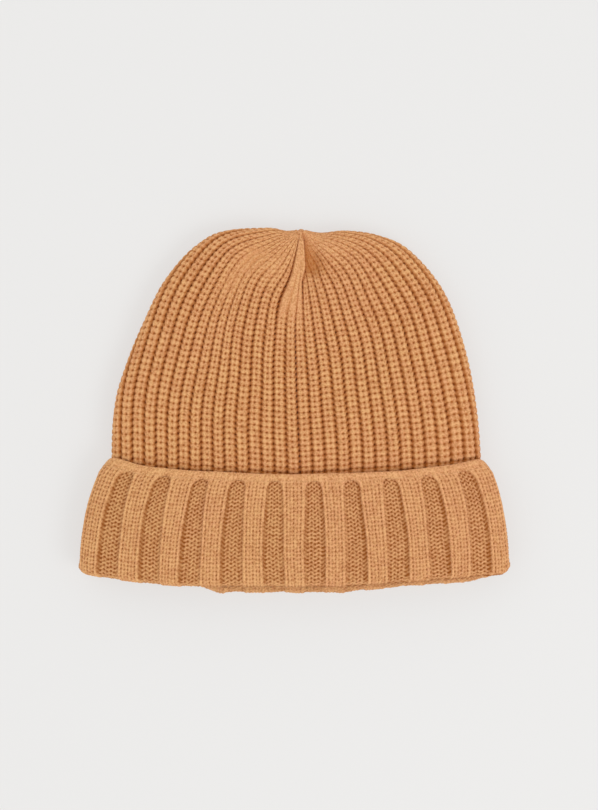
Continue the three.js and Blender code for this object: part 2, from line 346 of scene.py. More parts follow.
def crown_dents(x, y):
    """Gentle hollows and swells of the front near the tip, in millimetres."""
    return (-2.6 * bump(x, y, (10.5, 83), 4.2, 13, -0.12) - 1.5 * bump(x, y, (-24, 84), 9, 6, 0.7)
            - 0.9 * bump(x, y, (-36, 66), 8, 12, -0.5) + 1.0 * bump(x, y, (-44, 78), 11, 16, -0.7)
            + 1.1 * bump(x, y, (46, 72), 20, 16) - 0.8 * bump(x, y, (22, 60), 7, 20, 0.35)
            + 0.7 * bump(x, y, (-12, 64), 8, 16, -0.3))


def crown_point(place, along, depth=0.0):
    """A point of the crown from its place round it, 0 in the middle of the front and 2 behind."""
    t = np.abs(place)
    face = np.where(t <= 1, 1.0, -1.0)
    reach, rise = section(np.where(t <= 1, t, 2 - t), CROWN_ROUND, CROWN_SLIM)
    return crown_surface(reach, rise, place, face, along, depth)


def crown_grid(valleys, rows, depth=0.0):
    """Points spaced evenly along every rib line, the length of each line, and how far along each point is."""
    fine = np.broadcast_to(np.linspace(0, 1, 260)[:, None], (260, len(valleys)))
    spread = np.broadcast_to(valleys, fine.shape)
    line = crown_point(rib_places(spread, fine), fine)
    gone = travelled(line)
    share = np.linspace(0, CROWN_END, rows + 1)
    along = np.stack([np.interp(share * path[-1], path, fine[:, 0]) for path in gone.T], axis=1)
    spread = np.broadcast_to(valleys, along.shape)
    return crown_point(rib_places(spread, along), along, depth), gone[-1], along


CUFF_STRAIGHT = EDGE_Y - FOLD_Y - FOLD_RADIUS           # from the free edge down to where the fold starts
CUFF_ROLL = math.pi * FOLD_RADIUS                       # round the fold
CUFF_END = 2 * CUFF_STRAIGHT + CUFF_ROLL - JOIN_DEPTH   # from the free edge, round the fold, to the join
EDGE_RADIUS = CUFF_KNIT / 2


def cuff_path(distance, inset=0.0):
    """Down and depth of the cuff's fabric at a distance from its free edge.

    Negative distances are over the rounded edge and behind it. The rest runs down the outside, round the
    fold and up the inside, where the end leans in to meet the crown."""
    turn = np.clip((distance - CUFF_STRAIGHT) / CUFF_ROLL, 0, 1) * math.pi
    radius = FOLD_RADIUS - inset
    rising = np.clip(distance - CUFF_STRAIGHT - CUFF_ROLL, 0, None)
    down = np.minimum(distance, CUFF_STRAIGHT) + radius * np.sin(turn) - rising
    depth = FOLD_RADIUS - radius * np.cos(turn)
    inside = CUFF_END - CUFF_STRAIGHT - CUFF_ROLL
    depth = depth + LEAN_IN * smoothstep(rising, inside - LEAN_OVER, inside)
    lip = np.clip((EDGE_RADIUS - distance) / EDGE_RADIUS, 0, math.pi)
    over = distance < EDGE_RADIUS
    behind = np.clip(EDGE_RADIUS * (1 - math.pi) - distance, 0, None)
    down = np.where(over, EDGE_RADIUS * (1 - np.sin(lip)) + behind, down)
    depth = np.where(over, EDGE_RADIUS * (1 - np.cos(lip)), depth)
    return down, depth


def fold_line(x, face):
    """Height of the cuff's fold at a place across the hat, from -1 to 1; the back layer's hangs lower."""
    rise = 18 * np.maximum(-x - 0.42, 0) ** 1.7 + 8.4 * np.maximum(x - 0.22, 0)
    corner = np.where(x < 0, 1.2, 2.6) * smoothstep(np.abs(x), 0.955, 1) ** 2
    shown = smoothstep(x, -0.50, -0.34) * (1 - 0.15 * smoothstep(x, 0.38, 0.55))
    shown = shown * (1 - smoothstep(x, 0.80, 1.0))
    ragged = 0.2 * np.sin(31 * x) + 0.15 * np.sin(53 * x + 1)
    return TURN_LOW[1] - 0.9 + rise + corner - np.where(face < 0, (BACK_DROP + 1.2 + ragged) * shown, 0)


def cuff_point(place, down, depth):
    """A point of the cuff: place round it as on the crown, down from the free edge, and depth in."""
    t = np.abs(place)
    face = np.where(t <= 1, 1.0, -1.0)
    reach, rise = section(np.where(t <= 1, t, 2 - t), CUFF_ROUND, CUFF_SLIM)
    share = down / (EDGE_Y - FOLD_Y)
    flare = 1 - np.maximum(1 - share, 0) ** FLARE_POWER
    edge = np.where(place < 0, -EDGE_LEFT, EDGE_RIGHT)
    full = FOLD_HALF_WIDTH + np.where(place < 0, 0.8, 1.5)
    half_width = edge + (full - edge) * flare - depth
    half_width = half_width - EDGE_ROUNDING * (1 - smoothstep(share, 0, 0.14))
    top = EDGE_Y - EDGE_SAG * (1 - reach ** 2) + 0.7 * np.maximum(np.sign(place) * reach, 0) ** 4
    top = top + np.where(place < 0, 2.8, 1.6) * smoothstep(reach, 0.72, 1) ** 2
    top = top - np.where(place < 0, 0.8, 1.2) * smoothstep(reach, 0.97, 1) ** 2
    y = top + (fold_line(np.sign(place) * reach, face) - top) * share
    z = LOFT / 2 + face * (LOFT / 2 - depth) * rise
    return np.stack([np.sign(place) * half_width * reach, y, z], axis=-1)


# ---- Stitches ----
def crown_stitches(rib, course, sizes):
    """Height of the chunky rib over its base, and how much painted shade each point gets.

    rib counts ribs with a valley at each whole number, course counts rows of stitches. Each rib is two
    columns of plump loops, with a pin hole in its middle wherever four of them meet."""
    across = np.abs(rib - np.floor(rib) - 0.5) * 2
    row = np.abs(course - np.floor(course) - 0.5) * 2
    edge = across * (0.96 + 0.16 * row ** 2)
    fall = np.minimum(edge, 1.1) ** 4.5
    hole = np.exp(-(across / 0.20) ** 2 - ((1 - row) / 0.42) ** 2)
    spot = np.exp(-((1 - across) / 0.38) ** 2 - ((1 - row) / 0.45) ** 2)
    line = np.exp(-((1 - row) / 0.22) ** 2)
    loop = 0.28 * ((across - 0.45) / 0.45) ** 2 + 0.25 * row ** 4 + 0.22 * line
    height = -sizes.valley / MM * fall - sizes.eyelet / MM * hole - loop - 0.55 * spot
    # painted shade in the valleys between ribs, the pin holes, the spots where loops meet and along the row
    # lines
    groove = (0.68 + 0.2 * row ** 3) * smoothstep(edge, 0.46, 0.92)
    hollow_shade = np.maximum(groove, 0.74 * hole + 0.12 * np.exp(-(across / 0.2) ** 2))
    return height, np.clip(hollow_shade + 0.30 * line * (1 - 0.4 * across) + 0.42 * spot, 0, 1)


def cuff_stitches(repeat, distance, sizes):
    """Height of the wide rib and how much painted shade each point gets.

    repeat counts wide ribs with a raised rib's middle at each whole number, distance is from the free edge.
    Six legs of knit stitches stand proud and six half stitches of purl sit back between them."""
    row = sizes.cuff_course / MM
    a = (repeat - np.round(repeat)) * 12
    border = 3.42 - 0.55 * smoothstep(distance, 4, 40)
    side = np.abs(a)
    side = np.where(side < border, side * 3 / border, 3 + (side - border) * 3 / (6 - border))
    a = np.sign(a) * side
    arch = EDGE_BAND - 0.6 + 4.0 * (1 - np.sqrt(np.clip(1 - ((6 - side) / 2.9) ** 2, 0, 1)))
    sunk = smoothstep(side, 2.75, 3.45) * smoothstep(distance, arch, arch + 1.3)
    leg = a - np.floor(a)
    lean = np.where(np.floor(a) % 2 == 0, 0.16, -0.16) * (leg - 0.5)
    between = 0.5 - 0.5 * np.cos(2 * np.pi * (distance / row - lean))
    gap = np.exp(-(np.minimum(leg, 1 - leg) / 0.19) ** 2) * np.where(np.round(a) % 2 == 0, 1, 0.72)
    plain = 0.85 * smoothstep(side, 2.12, 2.45) * (1 - smoothstep(side, 3.1, 3.6) * (1 - sunk))
    plain = 1 - (1 - plain) * (0.35 + 0.65 * smoothstep(distance, 2, 7))
    knit = (0.30 * between ** 2 + gap * (0.35 + 0.75 * between)) * (1 - plain)
    # painted shade between the knit legs and their rows, and below between the purl bumps
    knit_shade = (gap * (0.16 + 1.0 * between ** 1.6) + 0.16 * between ** 2) * (1 - plain)
    edge = 0.35 * smoothstep(side, 2.2, 3.2) * (side / 3) ** 2 * sunk
    middle = np.cos(np.pi * a) ** 2
    between = 0.5 - 0.5 * np.cos(2 * np.pi * (distance / row - 0.26 * np.cos(np.pi * a)))
    purl = between ** 1.3 * (0.35 + 0.95 * middle) + 0.25 * (1 - middle)
    purl_shade = 0.06 + 2.1 * between ** 2 * (0.20 + 0.80 * middle ** 1.5)
    depth = sizes.panel / MM * (1 - 0.75 * smoothstep(distance, CUFF_STRAIGHT - 4, CUFF_STRAIGHT + 3))
    # painted shade along each purl panel's sunk edges, more on the edge towards the hat's nearer side, as the
    # light falls
    outer_side = -np.sign(a) * np.clip(repeat / 1.5, -1, 1)
    panel_crease_shade = (0.36 + 0.20 * outer_side) * np.exp(-((side - 3.35) / (0.4 + 0.15 * outer_side)) ** 2) * sunk
    relief = 1.25 * knit * (1 - sunk) + 1.3 * purl * sunk
    height = -sizes.cuff_yarn / MM * relief - edge * (1 - sunk) - depth * sunk
    # painted shade from the stitches' hollows, faded out round the fold
    hollow_shade = 0.76 * knit_shade * (1 - sunk) + purl_shade * sunk + panel_crease_shade
    hollow_shade = hollow_shade * (1 - 0.75 * smoothstep(distance, CUFF_STRAIGHT - 0.5, CUFF_STRAIGHT + 2.5))
    return height, np.clip(hollow_shade, 0, 1)


# ---- Meshes ----
def closed_shell(outer, inner, step):
    """Points, four-sided and three-sided faces of a closed layer: a fine grid, and one coarser behind."""
    rows, cols = outer.shape[:2]
    o = np.arange(rows * cols).reshape(rows, cols)
    i = np.arange(inner.shape[0] * inner.shape[1]).reshape(inner.shape[:2]) + rows * cols

    def quads(g):
        return np.stack([g[:-1, :-1], g[:-1, 1:], g[1:, 1:], g[1:, :-1]], axis=-1).reshape(-1, 4)

    def border(g):
        return np.concatenate([g[0, :-1], g[:-1, -1], g[-1, :0:-1], g[:0:-1, 0]])

    fine, coarse = border(o), border(i)
    a, b = coarse, np.roll(coarse, -1)
    middle = step // 2
    triangles = []
    for k in range(step):
        here = fine[k::step]
        after = np.roll(fine, -1)[k::step]
        triangles.append(np.stack([after, here, a if k < middle else b], axis=-1))
    triangles.append(np.stack([a, b, fine[middle::step]], axis=-1))
    points = np.concatenate([outer.reshape(-1, 3), inner.reshape(-1, 3)])
    return points, np.concatenate([quads(o), quads(i)[:, ::-1]]), np.concatenate(triangles)


def signed_volume(points, quads, triangles):
    """Six times the volume inside the faces, below zero when they are turned inside out."""
    a, b, c = np.concatenate([quads[:, :3], quads[:, [0, 2, 3]], triangles]).T
    return np.einsum("ij,ij->", points[a], np.cross(points[b], points[c]))


def add_mesh(name, points, quads, triangles, values=None):
    """A mesh object from points in millimetres, with flat end walls and with values on its points."""
    if signed_volume(points, quads, triangles) < 0:
        quads, triangles = quads[:, ::-1], triangles[:, ::-1]
    mesh = bpy.data.meshes.new(name)
    mesh.vertices.add(len(points))
    mesh.vertices.foreach_set("co", (points * MM).astype(np.float32).ravel())
    corners = np.concatenate([quads.ravel(), triangles.ravel()])
    mesh.loops.add(len(corners))
    mesh.loops.foreach_set("vertex_index", corners.astype(np.int32))
    starts = np.concatenate([np.arange(len(quads)) * 4, len(quads) * 4 + np.arange(len(triangles)) * 3])
    mesh.polygons.add(len(starts))
    mesh.polygons.foreach_set("loop_start", starts.astype(np.int32))
    mesh.polygons.foreach_set("use_smooth", np.arange(len(starts)) < len(quads))
    mesh.update(calc_edges=True)
    mesh.validate()
    for key, value in (values or {}).items():
        layer = mesh.attributes.new(key, "FLOAT", "POINT")
        layer.data.foreach_set("value", value.astype(np.float32))
    piece = bpy.data.objects.new(name, mesh)
    bpy.context.scene.collection.objects.link(piece)
    return piece


# How each knitted layer is held: the crown gathered, the turned-up layer folded, the inner band laid.
# Nothing uses these holds. The start edge is the rim of the turned-up layer.
HELD = {"crown": "gathered", "turn": "folded", "inner": "laid"}


def stand_for(piece, node, finish):
    """Give a piece its material, and let it ride and stand for a frame node."""
    piece.data.materials.append(finish)
    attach(piece, BODY)
    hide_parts(node)


def knitted_piece(node, outer, inner, step, hollow_shade, tone, yarn):
    """A closed layer of knitting that stands for a frame node."""
    behind = inner.shape[0] * inner.shape[1]
    values = {
        # painted shade on the stitches, and an even painted shade over the hidden inner side
        "hollow_shade": np.concatenate([hollow_shade.ravel(), np.full(behind, 0.35)]),
        "tone": np.concatenate([tone.ravel(), np.full(behind, 0.5)]),
    }
    piece = add_mesh(node + "_knit", *closed_shell(outer, inner, step), values)
    stand_for(piece, node, yarn)
    part, *_, face = node.split("_")
    if part in HELD:
        rim = [bpy.data.objects[f"start_edge_{face}_knit"]] if part == "turn" else []


# ---- Materials ----
class Socket:
    """A number coming out of a node. Arithmetic on it adds Math nodes."""

    def __init__(self, graph, link):
        self.graph = graph
        self.link = link

    def _math(self, operation, *values):
        return self.graph.node("ShaderNodeMath", {"operation": operation}, dict(enumerate(values)))

    def __add__(self, other):
        return self._math("ADD", self, other)

    def __sub__(self, other):
        return self._math("SUBTRACT", self, other)

    def __mul__(self, other):
        return self._math("MULTIPLY", self, other)


class Graph:
    """A material's nodes, added one call at a time."""

    def __init__(self, name):
        self.material = bpy.data.materials.new(name)
        self.material.use_nodes = True
        self.tree = self.material.node_tree
        self.shader = self.tree.nodes["Principled BSDF"]

    def node(self, kind, settings=None, inputs=None, output=0):
        """Any node: its type, its settings, then the values or links of its sockets."""
        node = self.tree.nodes.new(kind)
        for key, value in (settings or {}).items():
            setattr(node, key, value)
        for key, value in (inputs or {}).items():
            self.feed(node.inputs[key], value)
        return Socket(self, node.outputs[output])

    def feed(self, socket, value):
        if isinstance(value, Socket):
            self.tree.links.new(value.link, socket)
        else:
            socket.default_value = value

    def mix(self, factor, a, b):
        """A colour between two others. Sockets 0, 6, 7 and output 2 are the node's colour ones."""
        return self.node("ShaderNodeMix", {"data_type": "RGBA"}, {0: factor, 6: a, 7: b}, 2)

    def place(self):
        return self.node("ShaderNodeTexCoord", output="Object")

    def noise(self, scale, detail, roughness=0.5):
        inputs = {"Vector": self.place(), "Scale": scale, "Detail": detail, "Roughness": roughness}
        return self.node("ShaderNodeTexNoise", None, inputs, "Fac")

    def bump(self, strength, distance, height):
        inputs = {"Strength": strength, "Distance": distance, "Height": height}
        return self.node("ShaderNodeBump", None, inputs)

    def value(self, name):
        return self.node("ShaderNodeAttribute", {"attribute_name": name}, None, "Fac")

    def finish(self, **sockets):
        for name, value in sockets.items():
            self.feed(self.shader.inputs[name.replace("_", " ")], value)
        return self.material


def colour(rgb):
    return (*rgb, 1.0)


DARK_FIBRE = (0.63, 0.48, 0.36)         # a dark fibre's red, green and blue, as shares of the yarn's


def knit_material(name, colours, fibre_scale, hollow_shade_colour):
    """Heathered camel yarn, hairy on the crests, with painted shade, darker and redder, in the hollows."""
    g = Graph(name)
    hollow_shade, tone = g.value("hollow_shade"), g.value("tone")
    patches = g.noise(14, 2)
    hair = g.noise(fibre_scale, 4, 0.65)
    fleck = g.noise(950, 3, 0.8)
    warm = (tone - 0.5) * 0.7 + (patches - 0.5) * 1.6 + 0.4
    yarn = g.mix(warm, colour(colours.yarn), colour(colours.warm))
    dark = [share * part for share, part in zip(DARK_FIBRE, colours.yarn)]
    flecked = g.mix((fleck - 0.44) * 4.6 + (tone - 0.5) * 0.3, yarn, colour(dark))
    # painted shade: the yarn mixed towards the darker, redder colour by how deep in the hollows each point
    # lies
    shaded = g.mix(hollow_shade, flecked, colour(hollow_shade_colour))
    relief = g.bump(0.6, 0.0004, hair + fleck * 0.8)
    return g.finish(Base_Color=shaded, Roughness=0.93, Normal=relief,
                    Sheen_Weight=0.12, Sheen_Roughness=0.45, Sheen_Tint=(1.0, 0.86, 0.72, 1.0),
                    Specular_IOR_Level=0.2)


def crown_yarn(colours):
    """The crown's yarn, which also links its seams: made once."""
    name = "crown rib yarn"
    return bpy.data.materials.get(name) or knit_material(name, colours, 1500, colours.crown_hollow_shade)


# ---- Crown ----
def seam_features(base, valley, course):
    """The smooth band that runs down from the tip, the tuck beside it and the patch of the left decrease.

    Gives how far each lifts the surface, in millimetres, how much of the stitch relief it leaves, and how
    much painted shade it adds."""
    x, y = base[..., 0], base[..., 1]
    front = np.abs(valley) < QUARTER
    top = smoothstep(y, 42, 64) * front
    left_bound, right_bound = -2.0, 0.95 + 1.15 * smoothstep(y, 69, 81)
    middle = (left_bound + right_bound) / 2
    half = (right_bound - left_bound) / 2
    off = (valley - middle) / half
    band = top * (1 - smoothstep(np.abs(off), 0.82, 1.02))
    lift = 1.2 * band * np.sqrt(np.clip(1 - (off * 0.9) ** 2, 0, 1))
    creases = np.exp(-((off + 0.32) / 0.09) ** 2) + np.exp(-((off - 0.36) / 0.09) ** 2)
    creases = creases * band * (1 - smoothstep(y, 66, 90))
    rungs = 0.12 * np.cos(2 * np.pi * course) * band
    left_groove = top * np.exp(-((off + 1.03) / 0.12) ** 2) * (1 - 0.45 * smoothstep(y, 84, 98))
    right_groove = smoothstep(y, 54, 74) * front * np.exp(-((off - 1.02) / 0.12) ** 2)
    beside = valley - right_bound
    tuck = smoothstep(beside, -0.1, 0.3) * (1 - smoothstep(beside, 0.9, 4.8)) * smoothstep(y, 71, 79) * front
    patch = bump(x, y, (-22, 83), 8.0, 5.5, 0.75) * front
    lower_patch = bump(x, y, (-34, 71), 5.0, 9.0, -0.45) * front
    swirl = bump(x, y, (-10.5, 79), 4.5, 11.0, -0.55) * front * (1 - band)
    arcs = np.cos(1.9 * np.hypot(x + 14, y - 74)) * np.clip(patch * 1.7 - 0.45, 0, 1)
    shoulder = bump(x, y, (18, 91), 12, 6.5, -0.3) * front * (1 - band)
    lift = (lift + rungs - 0.45 * creases - 1.0 * left_groove - 0.9 * right_groove - 2.2 * tuck
            - 0.9 * patch - 0.5 * lower_patch + 0.35 * arcs)
    smooth = np.clip(band + 0.45 * tuck + 1.2 * patch + 0.55 * lower_patch + 0.6 * swirl + 0.45 * shoulder,
                     0, 0.9)
    # painted shade in the grooves beside the band, the tuck, the creases and the patches, lighter on the
    # arcs' crests
    hollow_shade = (0.55 * left_groove + 0.50 * right_groove + 0.62 * tuck * (1 - 0.5 * smoothstep(y, 88, 97))
              + 0.30 * creases + 0.22 * patch + 0.10 * lower_patch - 0.14 * arcs)
    return lift, 1 - smooth, np.clip(hollow_shade, 0, 1)


class KnitCrown(bpy.types.Operator):
    """Knit the four gores of the crown"""

    bl_idname = "beanie.knit_crown"
    bl_label = "Knit crown"

    def execute(self, context):
        sizes, colours = context.scene.beanie_sizes, context.scene.beanie_colours
        yarn = crown_yarn(colours)
        front_fine, back_fine = 16, 12      # columns of points to a rib
        step, rows = 4, 360                 # the hidden side is so many times coarser than the outside
        valleys = QUARTER * ring_places(RIBS // 2 * front_fine, RIBS // 2 * back_fine)
        base, length, along = crown_grid(valleys, rows)
        spacing = np.linalg.norm(np.roll(base, -1, axis=1) - np.roll(base, 1, axis=1), axis=2)
        spacing[:, 0] = spacing[:, 1]
        spacing[:, -1] = spacing[:, -2]
        count = np.roll(valleys, -1) - np.roll(valleys, 1)
        count[0] = count[-1] = 2 / back_fine
        width = spacing / np.abs(count)
        middle = length[len(length) // 2]
        courses = sizes.courses * (length / middle) ** 0.45
        course = np.linspace(0, CROWN_END, rows + 1)[:, None] * courses
        rib = np.broadcast_to(valleys + RIBS // 2, course.shape)
        own = np.floor(rib) % RIBS
        inside = np.sin(np.pi * rib) ** 2
        sway = rib + 0.065 * wander(rib * 0.5, course * 0.13, 3, RIBS // 2) * inside
        uneven = course + np.minimum(inside * 6, 1) * (0.36 * (own % 2) + 0.3 * wander(own, course * 0.09, 5))
        height, hollow_shade = crown_stitches(sway, uneven, sizes)
        lift, kept, shade = seam_features(base, valleys[None, :], uneven)
        full = np.clip(width / RIB_WIDTH, 0.12, 1.0)
        plump = 1 + 0.10 * wander(own * 1.0, np.floor(uneven) * 0.8, 12) * inside
        height = height * full * kept * plump + lift + 0.3 * wander(rib * 0.25, course * 0.12, 8, RIBS // 4)
        height = height * (1 - 0.85 * smoothstep(along, 0.93, CROWN_END))
        # painted shadow on the crown in a narrow band just above the cuff's free edge
        over_edge = base[..., 1] - EDGE_Y + EDGE_SAG * (1 - (base[..., 0] / BASE_HALF_WIDTH) ** 2)
        cuff_edge_shadow = 0.3 * (1 - smoothstep(over_edge, 0.5, 4.6))
        # painted shade: the stitches', the seam features' and the shadow above the cuff's edge
        hollow_shade = np.clip(hollow_shade * full ** 0.7 * kept + shade + cuff_edge_shadow, 0, 1)
        tone = stitch_tone(np.floor(sway * 2), np.floor(uneven), 11)
        outer = raised(base, normals_of(base), height)
        coarse = valleys[::step]
        inner, _, _ = crown_grid(coarse, rows // step, CROWN_KNIT)
        ripple = np.where(np.abs(coarse) < QUARTER, 0.5, -0.5) * np.cos(2 * np.pi * coarse)
        inner[..., 2] += ripple * np.clip(full[::step, ::step] * 1.2 - 0.2, 0, 1)
        side = QUARTER * back_fine
        centre = side + QUARTER * front_fine
        cuts = {
            "crown_back_left": (0, side),
            "crown_front_left": (side, centre),
            "crown_front_right": (centre, 2 * centre - side),
            "crown_back_right": (2 * centre - side, len(valleys) - 1),
        }
        for node, (first, last) in cuts.items():
            part = slice(first, last + 1)
            behind = slice(first // step, last // step + 1)
            knitted_piece(node, outer[:, part], inner[:, behind], step, hollow_shade[:, part],
                          tone[:, part], yarn)
        return {"FINISHED"}


# ---- Cuff ----
def cuff_layers(places, front_steps, back_steps, step):
    """The front and the back of a ring of columns, fine and coarse, with the back's two halves joined."""
    half = back_steps // 2
    whole = np.arange(len(places))
    front = whole[half:half + front_steps + 1]
    back = np.concatenate([whole[half + front_steps:], whole[1:half + 1]])
    return {"front": (front, front[::step] // step), "back": (back, back[::step] // step)}


class KnitCuff(bpy.types.Operator):
    """Knit the turned-up cuff: its starting edge, the turned-up layer with its fold, and the inner band"""

    bl_idname = "beanie.knit_cuff"
    bl_label = "Knit cuff"
    step = 12      # how much coarser the hidden side of a layer is

    def execute(self, context):
        sizes = context.scene.beanie_sizes
        colours = context.scene.beanie_colours
        self.yarn = knit_material("cuff rib yarn", colours, 2600, colours.cuff_hollow_shade)
        self.sizes = sizes
        row = sizes.cuff_course / MM
        roll_end = CUFF_STRAIGHT + CUFF_ROLL
        behind = EDGE_RADIUS * (1 - math.pi) - EDGE_BAND + EDGE_RADIUS
        edge = self.rows(behind, EDGE_BAND, row / 4)
        turn_up = self.rows(EDGE_BAND, roll_end, row / 4)
        inner_band = self.rows(roll_end, CUFF_END, row / 3)
        self.strip((("start_edge", edge), ("turn_up", turn_up)), 60, 36)
        self.strip((("inner_band", inner_band),), 36, 36)
        return {"FINISHED"}

    def rows(self, first, last, pitch):
        return np.linspace(first, last, max(1, round((last - first) / pitch / self.step)) * self.step + 1)

    def strip(self, layers, front_fine, back_fine):
        """Knit layers that follow each other without a break."""
        repeats = self.sizes.repeats
        places = ring_places(repeats * front_fine, repeats * back_fine)
        distance = np.concatenate([layers[0][1]] + [rows[1:] for _, rows in layers[1:]])
        down, depth = cuff_path(distance)
        outer, hollow_shade, tone = self.stitch(places, distance, down, depth)
        first = 0
        for key, rows in layers:
            part = slice(first, first + len(rows))
            first += len(rows) - 1
            coarse = rows[::self.step]
            if key == "start_edge":
                flat = np.linspace(0.4, 0.6, len(coarse))[:, None, None]
                inner = outer[part][0, ::self.step] * (1 - flat) + outer[part][-1, ::self.step] * flat
            else:
                inner = self.base(places[::self.step], *cuff_path(coarse, CUFF_KNIT))
            sides = cuff_layers(places, repeats * front_fine, repeats * back_fine, self.step)
            for face, (fine, behind) in sides.items():
                knitted_piece(
                    f"{key}_{face}", outer[part][:, fine], inner[:, behind], self.step,
                    hollow_shade[part][:, fine], tone[part][:, fine], self.yarn)

    def base(self, places, down, depth):
        return cuff_point(*np.broadcast_arrays(places, down[:, None], depth[:, None]))

    def stitch(self, places, distance, down, depth):
        """The outer surface with its stitches, how much painted shade each point gets, and each stitch's
        tone.
        """
        base = self.base(places, down, depth)
        across, distances = np.broadcast_arrays(places, distance[:, None])
        repeats = across * self.sizes.repeats / 2
        loop = 2 * self.sizes.repeats
        sway = repeats + 0.03 * wander(repeats * 2, distances * 0.05, 21, 2 * loop)
        wobble = distances + 0.35 * wander(repeats * 12, distances * 0.12, 22, 12 * loop)
        height, hollow_shade = cuff_stitches(sway, wobble, self.sizes)
        height = height + 0.3 * wander(repeats, distances * 0.06, 24, loop)
        course = np.floor(distances / (self.sizes.cuff_course / MM))
        tone = stitch_tone(np.floor(sway * 12) + 300, course + 20, 27)
        # painted shade: a dark line where the front layer's fold rolls under, from a little left of the
        # middle to the right, over the back layer
        under = np.exp(-((distances - CUFF_STRAIGHT - 0.44 * CUFF_ROLL) / 1.5) ** 2) * (np.abs(across) < 0.97)
        patchy = 1 + 0.3 * wander(repeats * 3, distances * 0, 25, 3 * loop)
        under = under * smoothstep(across, -0.5, -0.3) * patchy
        hollow_shade = np.clip(hollow_shade * (0.75 + 0.5 * tone) + 0.8 * under, 0, 1)
        return raised(base, -normals_of(base), height), hollow_shade, tone


# ---- Tip and seams ----
def capped(rings, first, last):
    """Points, four-sided and three-sided faces of rings [rows][sides][3] closed by a point at each end."""
    rows, sides = rings.shape[:2]
    grid = np.arange(rows * sides).reshape(rows, sides)
    turned = np.roll(grid, -1, axis=1)
    quads = np.stack([grid[:-1], turned[:-1], turned[1:], grid[1:]], axis=-1).reshape(-1, 4)
    start = np.full(sides, rows * sides)
    caps = np.concatenate([
        np.stack([start, turned[0], grid[0]], axis=-1),
        np.stack([start + 1, grid[-1], turned[-1]], axis=-1),
    ])
    return np.concatenate([rings.reshape(-1, 3), [first, last]]), quads, caps


def tube(points, radius, sides=8):
    """Points and faces of a closed round tube through a list of points."""
    p = np.asarray(points, float)
    ahead = unit(np.gradient(p, axis=0))
    up = np.array([0.13, 0.21, 0.97])
    side = unit(np.cross(ahead, up))
    over = np.cross(side, ahead)
    angle = np.linspace(0, 2 * np.pi, sides, endpoint=False)
    ring = p[:, None] + radius * (side[:, None] * np.cos(angle)[None, :, None]
                                  + over[:, None] * np.sin(angle)[None, :, None])
    return capped(ring, p[0], p[-1])


def joined(parts):
    """Several point-and-face sets as one."""
    points, quads, caps, start = [], [], [], 0
    for p, q, c in parts:
        points.append(p)
        quads.append(q + start)
        caps.append(c + start)
        start += len(p)
    return np.concatenate(points), np.concatenate(quads), np.concatenate(caps)


def smooth_path(points, pitch):
    """Evenly spaced points along a curve through a few."""
    fine = spline(points, np.linspace(0, 1, 400))
    gone = travelled(fine)
    places = np.linspace(0, gone[-1], max(2, round(gone[-1] / pitch)) + 1)
    return np.stack([np.interp(places, gone, fine[:, k]) for k in range(3)], axis=-1), places


def plaited(points, radius, lay):
    """Three strands plaited along a path, a turn in every lay millimetres."""
    path, gone = smooth_path(points, radius * 0.45)
    parts = []
    for strand in range(3):
        turn = 2 * np.pi * (gone / lay + strand / 3)
        offset = np.stack([np.sin(turn), np.zeros_like(turn), 0.5 * np.sin(2 * turn)], axis=-1)
        parts.append(tube(path + offset * radius * 0.5, radius * 0.42, sides=7))
    return joined(parts)


def yarn_piece(name, node, shape, yarn):
    """A piece of linking yarn that stands for a frame node."""
    count = len(shape[0])
    # an even, light painted shade over the linking yarn
    piece = add_mesh(name, *shape, {"hollow_shade": np.full(count, 0.12), "tone": np.full(count, 0.5)})
    stand_for(piece, node, yarn)


def crown_seam(face, across, first, last):
    """Points of a seam on the inside of the crown, a little clear of it."""
    along = np.linspace(first, last, 9)
    angle = np.full(9, abs(across) * np.pi / 2)
    side = np.full(9, 1.0 if across > 0 else -1.0)
    reach, rise = flattened(angle, CROWN_ROUND)
    points = crown_surface(reach, rise, side, np.full(9, float(face)), along, CROWN_KNIT)
    points[:, 2] -= face * SEAM_CLEAR
    return points


class LinkSeams(bpy.types.Operator):
    """Link the decreases and the back with plaited yarn, and draw the last loops together at the tip"""

    bl_idname = "beanie.link_seams"
    bl_label = "Link seams"

    def execute(self, context):
        colours = context.scene.beanie_colours
        yarn = crown_yarn(colours)
        band = []
        for share in (0.92, 0.71, 0.51, 0.30):
            down = share * (EDGE_Y - FOLD_Y)
            point = cuff_point(np.array([2.0]), np.array([down]), np.array([2 * CUFF_KNIT + GAP]))[0]
            band.append((BASE_MIDDLE[0], point[1], point[2] + SEAM_CLEAR))
        seams = {
            "front_dart_seam": crown_seam(1, -1e-6, 0.45, 0.82),
            "left_dart_seam": crown_seam(1, -0.42, 0.72, 0.86),
            "right_dart_seam": crown_seam(1, 0.3, 0.74, 0.86),
            "back_seam": np.concatenate([band, crown_seam(-1, -1e-6, 0.06, 0.82)]),
        }
        for node, points in seams.items():
            yarn_piece(node + "_plait", node, plaited(points, SEAM_RADIUS, 5.0), yarn)
        self.gather(yarn)
        return {"FINISHED"}

    def gather(self, yarn):
        """A small knot of drawn-up loops, pleated like a purse."""
        rows, cols = 30, 72
        v = np.linspace(0, np.pi, rows + 1)[1:-1, None]
        u = np.linspace(0, 2 * np.pi, cols, endpoint=False)[None, :]
        pleat = 1 + 0.16 * np.cos(6 * u + 1.4 * v) * np.sin(v)
        x = 2.5 * np.sin(v) * np.cos(u) * pleat
        y = -3.0 * np.cos(v) * np.ones_like(u)
        z = 3.6 * np.sin(v) * np.sin(u) * pleat
        rings = np.stack(np.broadcast_arrays(x, y, z), axis=-1)
        points, quads, caps = capped(rings, (0, -3.0, 0), (0, 3.0, 0))
        points = points + np.array([TIP[0], TIP[1] - 3.1, TIP_HEIGHT + 0.4])
        yarn_piece("tip_gather_knot", "tip_gather", (points, quads, caps), yarn)


